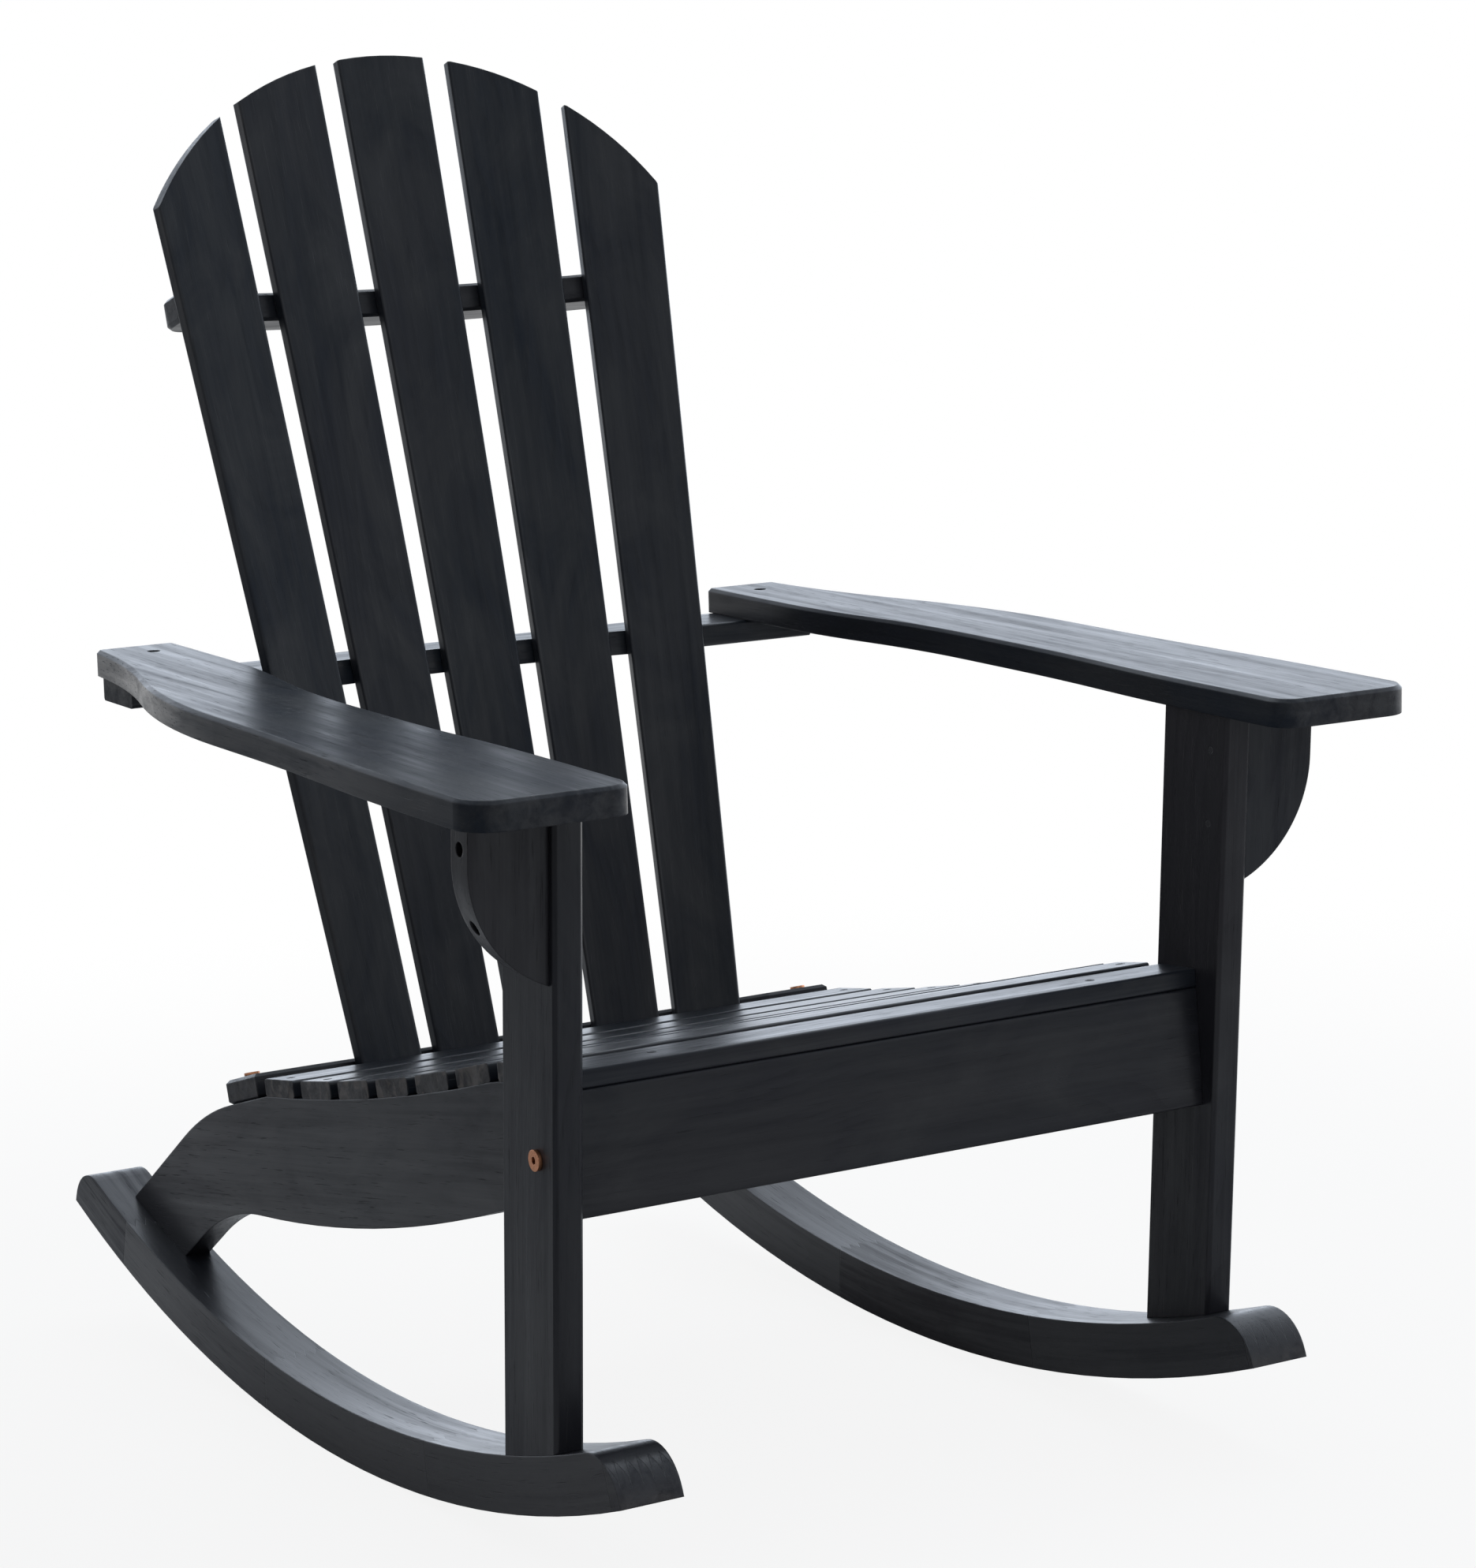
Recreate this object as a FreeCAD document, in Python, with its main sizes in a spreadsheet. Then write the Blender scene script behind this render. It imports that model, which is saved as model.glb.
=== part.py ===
import FreeCAD, Part
import math
import os
import Sketcher

# Rocking adirondack chair of stained boards, in millimetres.
# It is drawn with its legs upright: X to the right as seen from the front, Y to the back,
# Z up from the lowest point of the rockers' circle. The last step leans it to its rest.

Vector = FreeCAD.Vector
Placement = FreeCAD.Placement
Rotation = FreeCAD.Rotation
ACROSS = Vector(1, 0, 0)
NEARLY_ALONG = 0.99
SAME_PLACE = 1e-4
CLOSE_BY = 0.5
SIDES = (("left", -1), ("right", 1))

SIZES = {
    "Overall": {
        "width_over_legs": 554,
        "edge_ease": 2.5,
    },
    "Rockers": {
        "rocker_radius": 1327,
        "rocker_height": 40.3,
        "rocker_width": 47,
        "rocker_centre_back": 464.4,
        "rocker_nose": -88,
        "rocker_tail": 840,
        "rocker_end_round": 36,
    },
    "Front legs": {
        "leg_thickness": 22,
        "leg_depth": 74,
        "arm_top_height": 588,
    },
    "Seat slats": {
        "slat_count": 8,
        "front_slat_count": 2,
        "front_slat_width": 42,
        "slat_width": 52,
        "slat_thickness": 13.5,
        "slat_gap": 14.3,
        "seat_front": 26.9,
        "seat_height": 379.7,
        "front_slat_tilt": 8.5,
        "second_slat_tilt": 13.5,
        "dip_slat_tilt": 20,
        "last_slat_tilt": 13.5,
    },
    "Apron and side rails": {
        "apron_thickness": 20,
        "apron_height": 85.5,
        "rail_thickness": 21,
        "rail_front_depth": 68.8,
        "rail_rear_depth": 94,
        "rail_arch_radius": 1944,
        "heel_angle": 37.7,
        "heel_run": 51.4,
        "heel_round": 354,
        "foot_width": 92.9,
        "foot_round": 140,
    },
    "Back": {
        "back_lean": 20.6,
        "back_gap": 24.3,
        "back_curve_radius": 1057,
        "back_curve_width": 400,
        "back_slat_count": 5,
        "back_slat_thickness": 12,
        "back_slat_width": 55.6,
        "back_slat_flare": 0.0257,
        "back_slat_pitch": 70.1,
        "back_slat_fan": 0.0332,
        "back_height": 812.5,
        "back_top_radius": 264,
        "lower_rail_thickness": 19,
        "lower_rail_depth": 58,
        "batten_width": 431,
        "batten_height": 22.4,
        "batten_depth": 36,
        "batten_up": 602.2,
        "batten_end_round": 20,
    },
    "Arms": {
        "arm_slope": 3.34,
        "arm_thickness": 20,
        "arm_front": -65.5,
        "arm_overhang": 8,
        "arm_inner_front": 252.6,
        "arm_inner_waist": 261,
        "arm_inner_back": 240,
        "arm_outer_front": 369,
        "arm_outer_waist": 362.4,
        "arm_outer_back": 303,
        "arm_bend_start": 30,
        "arm_waist_front": 275,
        "arm_taper_start": 340,
        "arm_taper_end": 740,
        "arm_inner_bend_end": 590,
        "arm_outer_corner": 25,
        "arm_inner_corner": 18,
        "arm_rear_corner": 5,
        "arm_rail_width": 604,
        "arm_rail_thickness": 18.5,
        "arm_rail_depth": 56,
    },
    "Arm brackets": {
        "bracket_thickness": 23,
        "bracket_front": 6.5,
        "bracket_reach": 58,
        "bracket_straight": 37,
        "bracket_curve": 91,
    },
    "Leg bolts": {
        "leg_bolt_head": 14.5,
        "leg_bolt_proud": 3,
        "leg_bolt_shank": 6,
        "leg_bolt_length": 60,
        "leg_bolt_socket": 5,
        "leg_bolt_back": 5,
        "leg_bolt_down": 42,
    },
    "Rail bolts": {
        "rail_bolt_head": 12,
        "rail_bolt_proud": 2.5,
        "rail_bolt_shank": 6,
        "rail_bolt_length": 45,
        "rail_bolt_socket": 4,
    },
    "Arm and bracket screws": {
        "counterbore": 10,
        "screw_head": 9,
        "screw_head_height": 4,
        "screw_shank": 4.5,
        "screw_bite": 30,
        "upper_screw_z": 541,
        "lower_screw_z": 488,
        "bracket_bore_floor": 26,
        "arm_bore": 7,
        "arm_screw_x": 271,
    },
}

doc = FreeCAD.newDocument("rocking_chair")
sheet = doc.addObject("Spreadsheet::Sheet", "Sizes")
row = 1
for group, values in SIZES.items():
    sheet.set(f"A{row}", group)
    row += 1
    for name, number in values.items():
        sheet.set(f"A{row}", name)
        sheet.set(f"B{row}", str(number))
        sheet.setAlias(f"B{row}", name)
        row += 1
doc.recompute()


def size(name):
    return float(sheet.get(name))


def worth(amount):
    """The number behind a size, which is a number or an expression on the sheet."""
    return float(sheet.evalExpression(amount)) if isinstance(amount, str) else float(amount)


def bind(feature, prop, amount):
    if isinstance(amount, str):
        feature.setExpression(prop, amount)
    else:
        setattr(feature, prop, amount)


# Helpers that draw a closed outline, raise it into a board and ease its edges.


def new_body(label):
    body = doc.addObject("PartDesign::Body", label)
    body.Label = label
    return body


def new_sketch(body, role, name, offset=0):
    """A sketch on one of the body's origin planes, moved along its normal."""
    sketch = body.newObject("Sketcher::SketchObject", name)
    plane = [item for item in body.Origin.OriginFeatures if item.Role == role][0]
    sketch.AttachmentSupport = [(plane, "")]
    sketch.MapMode = "FlatFace"
    if isinstance(offset, str):
        sketch.setExpression("AttachmentOffset.Base.z", offset)
    else:
        sketch.AttachmentOffset = Placement(Vector(0, 0, offset), Rotation())
    return sketch


def pin_point(sketch, geometry, end, x, y):
    """Hold a point at its place, through the sheet where the place is an expression."""
    for kind, amount, axis in (("DistanceX", x, -2), ("DistanceY", y, -1)):
        if abs(worth(amount)) < 1e-9:
            sketch.addConstraint(Sketcher.Constraint("PointOnObject", geometry, end, axis))
            continue
        index = sketch.addConstraint(
            Sketcher.Constraint(kind, -1, 1, geometry, end, worth(amount))
        )
        if isinstance(amount, str):
            sketch.setExpression(f"Constraints[{index}]", amount)


def arc_between(start, end, radius):
    """The short arc from start to end, its centre to the left of the way if radius > 0."""
    chord = end - start
    middle = (start + end) / 2
    side = Vector(-chord.y, chord.x, 0).normalize() * math.copysign(1, radius)
    rise = math.sqrt(radius ** 2 - (chord.Length / 2) ** 2)
    centre = middle + side * rise
    first = math.atan2(start.y - centre.y, start.x - centre.x)
    last = math.atan2(end.y - centre.y, end.x - centre.x)
    circle = Part.Circle(centre, Vector(0, 0, 1), abs(radius))
    if radius > 0:
        return Part.ArcOfCircle(circle, first, last), (1, 2)
    return Part.ArcOfCircle(circle, last, first), (2, 1)


def outline(sketch, corners):
    """A closed outline through corners (x, y, radius of the arc to the next, or None)."""
    points = [Vector(worth(x), worth(y), 0) for x, y, _ in corners]
    ends = []
    for index, (_, _, radius) in enumerate(corners):
        start = points[index]
        end = points[(index + 1) % len(points)]
        if radius is None:
            number = sketch.addGeometry(Part.LineSegment(start, end), False)
            ends.append((number, 1, 2))
        else:
            arc, (first, last) = arc_between(start, end, worth(radius))
            number = sketch.addGeometry(arc, False)
            ends.append((number, first, last))
    for index, (number, first, _) in enumerate(ends):
        before, _, last = ends[index - 1]
        sketch.addConstraint(Sketcher.Constraint("Coincident", before, last, number, first))
    for index, (x, y, radius) in enumerate(corners):
        number, first, _ = ends[index]
        pin_point(sketch, number, first, x, y)
        if radius is not None:
            mark = sketch.addConstraint(
                Sketcher.Constraint("Radius", number, abs(worth(radius)))
            )
            if isinstance(radius, str):
                sketch.setExpression(f"Constraints[{mark}]", radius.lstrip("-"))


def pad(body, sketch, length, both_ways=False):
    feature = body.newObject("PartDesign::Pad", "Pad")
    feature.Profile = sketch
    feature.Midplane = both_ways
    bind(feature, "Length", length)
    doc.recompute()
    return feature


def straight_edges(shape, direction, keep=None):
    """Names of the straight edges along a direction, all or those that keep() accepts."""
    names = []
    for index, edge in enumerate(shape.Edges, 1):
        if edge.Curve.TypeId != "Part::GeomLine":
            continue
        if abs(edge.tangentAt(edge.FirstParameter).dot(direction)) < NEARLY_ALONG:
            continue
        if keep is None or keep(edge.CenterOfMass):
            names.append(f"Edge{index}")
    return names


def round_edges(body, base, names, radius):
    feature = body.newObject("PartDesign::Fillet", "Round")
    feature.Base = (base, names)
    bind(feature, "Radius", radius)
    doc.recompute()
    return feature


def bevel_edges(body, base, names):
    feature = body.newObject("PartDesign::Chamfer", "Bevel")
    feature.Base = (base, names)
    bind(feature, "Size", "Sizes.edge_ease")
    doc.recompute()
    return feature


def board(label, width, thickness, length, place):
    """A board along X, eased on its long edges. Its top front edge lies on the origin."""
    body = new_body(label)
    section = new_sketch(body, "YZ_Plane", "Section")
    outline(section, [
        (0, 0, None),
        (width, 0, None),
        (width, f"-{thickness}", None),
        (0, f"-{thickness}", None),
    ])
    block = pad(body, section, length, both_ways=True)
    round_edges(body, block, straight_edges(block.Shape, ACROSS), "Sizes.edge_ease")
    body.Placement = place
    return body


def tilted(y, z, degrees):
    """A board's place: its origin at (y, z), its Y axis dropping to the back."""
    return Placement(Vector(0, y, z), Rotation(ACROSS, -degrees))


def level_edges(shape, height):
    """Names of the edges that lie flat at one height."""
    names = []
    for index, edge in enumerate(shape.Edges, 1):
        box = edge.BoundBox
        if abs(box.ZMin - height) < SAME_PLACE and abs(box.ZMax - height) < SAME_PLACE:
            names.append(f"Edge{index}")
    return names


def drill(body, place, diameter, depth):
    """Bore a round hole down the Z axis of a place, into a body that is already in its own."""
    before = body.Shape.Volume
    mouth = new_sketch(body, "XY_Plane", "Mouth")
    mouth.AttachmentOffset = body.Placement.inverse().multiply(place)
    circle = mouth.addGeometry(Part.Circle(Vector(), Vector(0, 0, 1), worth(diameter) / 2), False)
    mouth.addConstraint(Sketcher.Constraint("Coincident", circle, 3, -1, 1))
    mark = mouth.addConstraint(Sketcher.Constraint("Diameter", circle, worth(diameter)))
    mouth.setExpression(f"Constraints[{mark}]", diameter)
    hole = body.newObject("PartDesign::Pocket", "Hole")
    hole.Profile = mouth
    bind(hole, "Length", depth)
    doc.recompute()
    if body.Shape.Volume >= before:
        raise RuntimeError(f"A hole misses {body.Label}")


half_width = size("width_over_legs") / 2
rail_outside = half_width - size("leg_thickness")
SEAT_LENGTH = "Sizes.width_over_legs - 2 * Sizes.leg_thickness"

# Rockers' circle: one centre for the arc on the floor and the arc that carries the chair.

circle_y = size("rocker_centre_back")
circle_z = size("rocker_radius")
carry_radius = size("rocker_radius") - size("rocker_height")
CARRY_RADIUS = "Sizes.rocker_radius - Sizes.rocker_height"


def on_circle(y, radius):
    """Height of the lower half of a rocker arc over a place along the chair."""
    return circle_z - math.sqrt(radius ** 2 - (y - circle_y) ** 2)


def line_meets_circle(y, z, slope, radius):
    """Where a line that runs down to the back meets the rear part of a rocker arc."""
    drop = z - circle_z
    reach = y - circle_y
    square = 1 + slope ** 2
    half = reach + slope * drop
    step = (-half + math.sqrt(half ** 2 - square * (reach ** 2 + drop ** 2 - radius ** 2))) / square
    return y + step, z + slope * step


def rocker_tip(y):
    """The floor corner and the top corner of a rocker end, cut square to the arc."""
    turn = math.asin((y - circle_y) / size("rocker_radius"))
    top = (circle_y + carry_radius * math.sin(turn), circle_z - carry_radius * math.cos(turn))
    return (y, on_circle(y, size("rocker_radius"))), top


def make_rocker(side, sign):
    body = new_body(f"rocker_{side}")
    inside = "Sizes.width_over_legs / 2 - Sizes.rocker_width"
    profile = new_sketch(
        body, "YZ_Plane", "Side", inside if sign > 0 else "-Sizes.width_over_legs / 2"
    )
    nose, nose_top = rocker_tip(size("rocker_nose"))
    tail, tail_top = rocker_tip(size("rocker_tail"))
    outline(profile, [
        (nose[0], nose[1], "Sizes.rocker_radius"),
        (tail[0], tail[1], None),
        (tail_top[0], tail_top[1], f"-({CARRY_RADIUS})"),
        (nose_top[0], nose_top[1], None),
    ])
    block = pad(body, profile, "Sizes.rocker_width")
    corners = straight_edges(block.Shape, ACROSS, near(nose_top))
    corners += straight_edges(block.Shape, ACROSS, near(tail_top))
    round_edges(body, block, corners, "Sizes.rocker_end_round")
    return body


# Arms, whose flat tops slope down to the back.

arm_slope = math.tan(math.radians(size("arm_slope")))
arm_under = size("arm_top_height") - size("arm_thickness") / math.cos(math.radians(size("arm_slope")))


def under_arm(y):
    return arm_under - arm_slope * y


def make_leg(side, sign):
    body = new_body(f"front_leg_{side}")
    inside = "Sizes.width_over_legs / 2 - Sizes.leg_thickness"
    profile = new_sketch(
        body, "YZ_Plane", "Side", inside if sign > 0 else "-Sizes.width_over_legs / 2"
    )
    depth = size("leg_depth")
    outline(profile, [
        (0, on_circle(0, carry_radius), CARRY_RADIUS),
        ("Sizes.leg_depth", on_circle(depth, carry_radius), None),
        ("Sizes.leg_depth", under_arm(depth), None),
        (0, under_arm(0), None),
    ])
    block = pad(body, profile, "Sizes.leg_thickness")
    bevel_edges(body, block, straight_edges(block.Shape, Vector(0, 0, 1)))
    return body


# Seat: a chain of slats, each a gap behind the last, that dips to the back.


def slat_tilts():
    """Front slats roll over the front edge, and the rest flatten to the back."""
    count = int(size("slat_count"))
    rolled = [size("front_slat_tilt"), size("second_slat_tilt")]
    dished = count - len(rolled)
    first = size("dip_slat_tilt")
    step = (size("last_slat_tilt") - first) / (dished - 1)
    return rolled + [first + step * index for index in range(dished)]


def slat_chain():
    """Top front corner, tilt and width name of every slat, from the front."""
    tilts = slat_tilts()
    y = size("seat_front")
    z = size("seat_height")
    chain = []
    for index, tilt in enumerate(tilts):
        width = "front_slat_width" if index < size("front_slat_count") else "slat_width"
        chain.append((y, z, tilt, width))
        along = math.radians(tilt)
        y += size(width) * math.cos(along)
        z -= size(width) * math.sin(along)
        if index + 1 < len(tilts):
            between = math.radians((tilt + tilts[index + 1]) / 2)
            y += size("slat_gap") * math.cos(between)
            z -= size("slat_gap") * math.sin(between)
    return chain, (y, z)


seat, seat_end = slat_chain()


def from_slat(slat, along, down):
    """A point at a distance along a slat's width and down through its thickness."""
    y, z, tilt, _ = slat
    turn = math.radians(tilt)
    return (
        y + along * math.cos(turn) - down * math.sin(turn),
        z - along * math.sin(turn) - down * math.cos(turn),
    )


def make_seat():
    slats = []
    for index, (y, z, tilt, width) in enumerate(seat, 1):
        slats.append(board(
            f"seat_slat_{index}", f"Sizes.{width}", "Sizes.slat_thickness", SEAT_LENGTH,
            tilted(y, z, tilt),
        ))
    return slats


def make_apron():
    """The board under the front slat, square to it and flush with its front edge."""
    y, z = from_slat(seat[0], 0, size("slat_thickness"))
    return board(
        "front_apron", "Sizes.apron_thickness", "Sizes.apron_height", SEAT_LENGTH,
        tilted(y, z, seat[0][2]),
    )


# Back: flat slats that stand on a shallow curve, which the three boards behind them share.
# Its datum is the plane of the middle slat's front face.

lean = math.radians(size("back_lean"))
up_back = Vector(0, math.sin(lean), math.cos(lean))
off_back = Vector(0, math.cos(lean), -math.sin(lean))
last_low = Vector(0, *from_slat(seat[-1], size(seat[-1][3]), size("slat_thickness")))
last_high = Vector(0, *seat_end)
back_foot = last_high + off_back * size("back_gap")
back_foot -= up_back * (last_high - last_low).dot(up_back)
batten_top = size("batten_up") + size("batten_height")
slat_middle = batten_top / 2


def on_back(up, off):
    """A point by its way up the datum plane and its distance behind it."""
    return back_foot + up_back * up + off_back * off


def back_place(up, off):
    return Placement(on_back(up, off), Rotation(ACROSS, -size("back_lean")))


def slat_reach(rank, up):
    """How far a slat reaches sideways, at a height, from the line that it is turned on."""
    aside = abs(rank) * size("back_slat_fan") * (up - slat_middle)
    return aside + (size("back_slat_width") + size("back_slat_flare") * up) / 2


def slat_out(rank):
    """Distance of a slat's back from the curve's axis when its eased edge meets the curve."""
    ease = size("edge_ease")
    reach = slat_reach(rank, batten_top - ease) - ease
    return ease + math.sqrt((size("back_curve_radius") - ease) ** 2 - reach ** 2)


axis_off = size("back_slat_thickness") - slat_out(0)


def curve_off(x, radius):
    """Distance behind the datum of an arc about the curve's axis, at a place across."""
    return axis_off + math.sqrt(radius ** 2 - x ** 2)


rim_off = curve_off(size("back_curve_width") / 2, size("back_curve_radius"))


def make_back_slat(index, count):
    """A slat that widens upwards and fans out, cut to the arc over the whole back."""
    body = new_body(f"back_slat_{index + 1}")
    face = new_sketch(body, "XZ_Plane", "Face")
    rank = index - (count - 1) / 2
    aside = rank * (size("back_slat_pitch") + size("back_slat_fan") * slat_middle)

    def edge(side, up):
        centre = rank * size("back_slat_fan") * (up - slat_middle)
        return centre + side * (size("back_slat_width") + size("back_slat_flare") * up) / 2

    arc_centre = size("back_height") - size("back_top_radius")

    def top(side):
        """The height where a slat's edge meets the arc."""
        slant = rank * size("back_slat_fan") + side * size("back_slat_flare") / 2
        foot = edge(side, 0) + aside
        square = 1 + slant ** 2
        half = slant * foot - arc_centre
        free = foot ** 2 + arc_centre ** 2 - size("back_top_radius") ** 2
        return (-half + math.sqrt(half ** 2 - square * free)) / square

    left = top(-1)
    right = top(1)
    outline(face, [
        (edge(-1, 0), 0, None),
        (edge(1, 0), 0, None),
        (edge(1, right), right, "Sizes.back_top_radius"),
        (edge(-1, left), left, None),
    ])
    block = pad(body, face, "Sizes.back_slat_thickness")
    block.Reversed = True
    doc.recompute()
    easy = straight_edges(block.Shape, Vector(0, 0, 1), lambda at: at.z > SAME_PLACE)
    round_edges(body, block, easy, "Sizes.edge_ease")
    out = slat_out(rank) - size("back_slat_thickness")
    turn = aside / out
    foot = Vector(out * math.sin(turn), 0, 0)
    stand = Placement(foot, Rotation(Vector(0, 0, 1), -math.degrees(turn)))
    body.Placement = back_place(0, axis_off + out * math.cos(turn)).multiply(stand)
    return body


def make_lower_rail():
    """The board that the slats stand against, its front edge hollowed to their curve."""
    body = new_body("lower_back_rail")
    plan = new_sketch(body, "XY_Plane", "Plan")
    end = f"({SEAT_LENGTH}) / 2"
    rear = rim_off + size("lower_rail_depth")
    outline(plan, [
        (f"-{end}", rim_off, None),
        ("-Sizes.back_curve_width / 2", rim_off, "-Sizes.back_curve_radius"),
        ("Sizes.back_curve_width / 2", rim_off, None),
        (end, rim_off, None),
        (end, rear, None),
        (f"-{end}", rear, None),
    ])
    block = pad(body, plan, "Sizes.lower_rail_thickness")
    edges = level_edges(block.Shape, 0) + level_edges(block.Shape, size("lower_rail_thickness"))
    bevel_edges(body, block, edges)
    body.Placement = back_place(0, 0)
    return body


def make_batten():
    """The strip high on the back, its two long edges both on the slats' curve."""
    body = new_body("upper_batten")
    plan = new_sketch(body, "XY_Plane", "Plan")
    inner = size("back_curve_radius")
    outer = inner + size("batten_depth")
    half = size("batten_width") / 2
    rear = curve_off(half, outer)
    outline(plan, [
        ("-Sizes.batten_width / 2", curve_off(half, inner), "-Sizes.back_curve_radius"),
        ("Sizes.batten_width / 2", curve_off(half, inner), None),
        ("Sizes.batten_width / 2", rear, "Sizes.back_curve_radius + Sizes.batten_depth"),
        ("-Sizes.batten_width / 2", rear, None),
    ])
    block = pad(body, plan, "Sizes.batten_height")
    corners = straight_edges(block.Shape, Vector(0, 0, 1), lambda at: abs(at.y - rear) < SAME_PLACE)
    ends = round_edges(body, block, corners, "Sizes.batten_end_round")
    edges = level_edges(ends.Shape, 0) + level_edges(ends.Shape, size("batten_height"))
    bevel_edges(body, ends, edges)
    body.Placement = back_place(size("batten_up"), 0)
    return body


def make_back():
    count = int(size("back_slat_count"))
    slats = [make_back_slat(index, count) for index in range(count)]
    return slats + [make_lower_rail(), make_batten()]


# Side rails: slat seats on top, a long arch below and a foot that stands on the rocker.


def make_side_rail(side, sign):
    body = new_body(f"side_rail_{side}")
    inside = "Sizes.width_over_legs / 2 - Sizes.leg_thickness - Sizes.rail_thickness"
    outside = "-Sizes.width_over_legs / 2 + Sizes.leg_thickness"
    profile = new_sketch(body, "YZ_Plane", "Side", inside if sign > 0 else outside)
    under = size("slat_thickness")
    top = [from_slat(seat[0], size("apron_thickness"), under)]
    for index, slat in enumerate(seat):
        if index > 0:
            top.append(from_slat(slat, 0, under))
        top.append(from_slat(slat, size(slat[3]), under))
    heel_top = on_back(0, rim_off + size("lower_rail_depth") + size("heel_run"))
    top.append((heel_top.y, heel_top.z))
    steep = math.radians(size("heel_angle"))
    fall = -math.tan(steep)
    corner = top[-1]
    heel = line_meets_circle(corner[0], corner[1], fall, carry_radius)
    shift = size("foot_width") / math.cos(steep)
    toe = line_meets_circle(corner[0], corner[1] - shift, fall, carry_radius)
    front = from_slat(seat[0], size("apron_thickness"), under + size("rail_front_depth"))
    rear = from_slat(seat[-1], size(seat[-1][3]), under + size("rail_rear_depth"))
    arch = arch_meets_foot(front, rear, (corner[0], corner[1] - shift), fall)
    corners = [
        (front[0], front[1], "Sizes.rail_arch_radius"),
        (arch[0], arch[1], None),
        (toe[0], toe[1], CARRY_RADIUS),
        (heel[0], heel[1], None),
    ]
    corners += [(y, z, None) for y, z in reversed(top)]
    outline(profile, corners)
    block = pad(body, profile, "Sizes.rail_thickness")
    edge = straight_edges(block.Shape, ACROSS, near(arch))
    round_foot = round_edges(body, block, edge, "Sizes.foot_round")
    edge = straight_edges(round_foot.Shape, ACROSS, near(corner))
    round_edges(body, round_foot, edge, "Sizes.heel_round")
    return body


def near(corner):
    """Accept an edge across the chair that passes through a corner of the side view."""
    return lambda at: math.hypot(at.y - corner[0], at.z - corner[1]) < CLOSE_BY


def arch_meets_foot(front, rear, foot, slope):
    """Where the long arch under the rail, carried on, meets the front line of the foot."""
    start = Vector(*front, 0)
    chord = Vector(*rear, 0) - start
    side = Vector(-chord.y, chord.x, 0).normalize()
    radius = size("rail_arch_radius")
    centre = start + chord / 2 + side * math.sqrt(radius ** 2 - (chord.Length / 2) ** 2)
    reach = foot[0] - centre.x
    drop = foot[1] - centre.y
    square = 1 + slope ** 2
    half = reach + slope * drop
    step = (-half + math.sqrt(half ** 2 - square * (reach ** 2 + drop ** 2 - radius ** 2))) / square
    return foot[0] + step, foot[1] + slope * step


def ogee(x0, y0, x1, y1):
    """The first two corners of a double bend whose ends both run along the chair."""
    radius = ((x1 - x0) ** 2 + (y1 - y0) ** 2) / (4 * abs(x1 - x0))
    turn = math.copysign(radius, (x0 - x1) * (y1 - y0))
    return [(x0, y0, turn), ((x0 + x1) / 2, (y0 + y1) / 2, -turn)]


def arm_rail_front():
    """Where the arm rail's top front edge, beside the hollow, meets the arms' undersides."""
    foot = on_back(0, rim_off)
    up = (under_arm(foot.y) - foot.z) / (up_back.z + arm_slope * up_back.y)
    return foot + up_back * up


def along_arm(point):
    """Distance of a point along the arms' slope, from over the front of the legs."""
    slope = math.radians(size("arm_slope"))
    return point.y * math.cos(slope) - (point.z - size("arm_top_height")) * math.sin(slope)


def make_arm(side, sign):
    body = new_body(f"arm_{side}")
    plan = new_sketch(body, "XY_Plane", "Plan")
    front = size("arm_front")
    back = along_arm(arm_rail_front()) + size("arm_rail_depth") + size("arm_overhang")
    taper_end = size("arm_taper_end")
    outer_back = size("arm_outer_back")
    taper = ogee(size("arm_outer_waist"), size("arm_taper_start"), outer_back, taper_end)
    bend = abs(taper[0][2])
    end = outer_back + bend - math.sqrt(bend ** 2 - (taper_end - back) ** 2)
    inner_front = size("arm_inner_front")
    waist = size("arm_inner_waist")
    inner_back = size("arm_inner_back")
    corners = [(inner_front, front, None), (size("arm_outer_front"), front, None)]
    corners += ogee(
        size("arm_outer_front"), size("arm_bend_start"),
        size("arm_outer_waist"), size("arm_waist_front"),
    )
    corners += [(size("arm_outer_waist"), size("arm_waist_front"), None)]
    corners += taper
    corners += [(end, back, None), (inner_back, back, None)]
    corners += ogee(inner_back, size("arm_inner_bend_end"), waist, size("arm_taper_start"))
    corners += [(waist, size("arm_taper_start"), None)]
    corners += ogee(waist, size("arm_waist_front"), inner_front, size("arm_bend_start"))
    corners += [(inner_front, size("arm_bend_start"), None)]
    if sign < 0:
        corners = mirrored(corners)
    outline(plan, corners)
    block = pad(body, plan, "Sizes.arm_thickness")
    block.Reversed = True
    doc.recompute()
    shaped = block
    for x, y, amount in (
        (size("arm_outer_front"), front, "arm_outer_corner"),
        (inner_front, front, "arm_inner_corner"),
        (end, back, "arm_rear_corner"),
        (inner_back, back, "arm_rear_corner"),
    ):
        edge = straight_edges(
            shaped.Shape, Vector(0, 0, 1), lambda at: math.hypot(at.x - sign * x, at.y - y) < CLOSE_BY
        )
        shaped = round_edges(body, shaped, edge, f"Sizes.{amount}")
    bevel_edges(body, shaped, level_edges(shaped.Shape, 0))
    body.Placement = tilted(0, size("arm_top_height"), size("arm_slope"))
    return body


def mirrored(corners):
    """The same outline on the other side, still drawn the same way round."""
    flipped = []
    count = len(corners)
    for index in range(count):
        x, y, _ = corners[-index]
        radius = corners[-index - 1][2]
        flipped.append((-x, y, radius))
    return flipped


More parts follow.
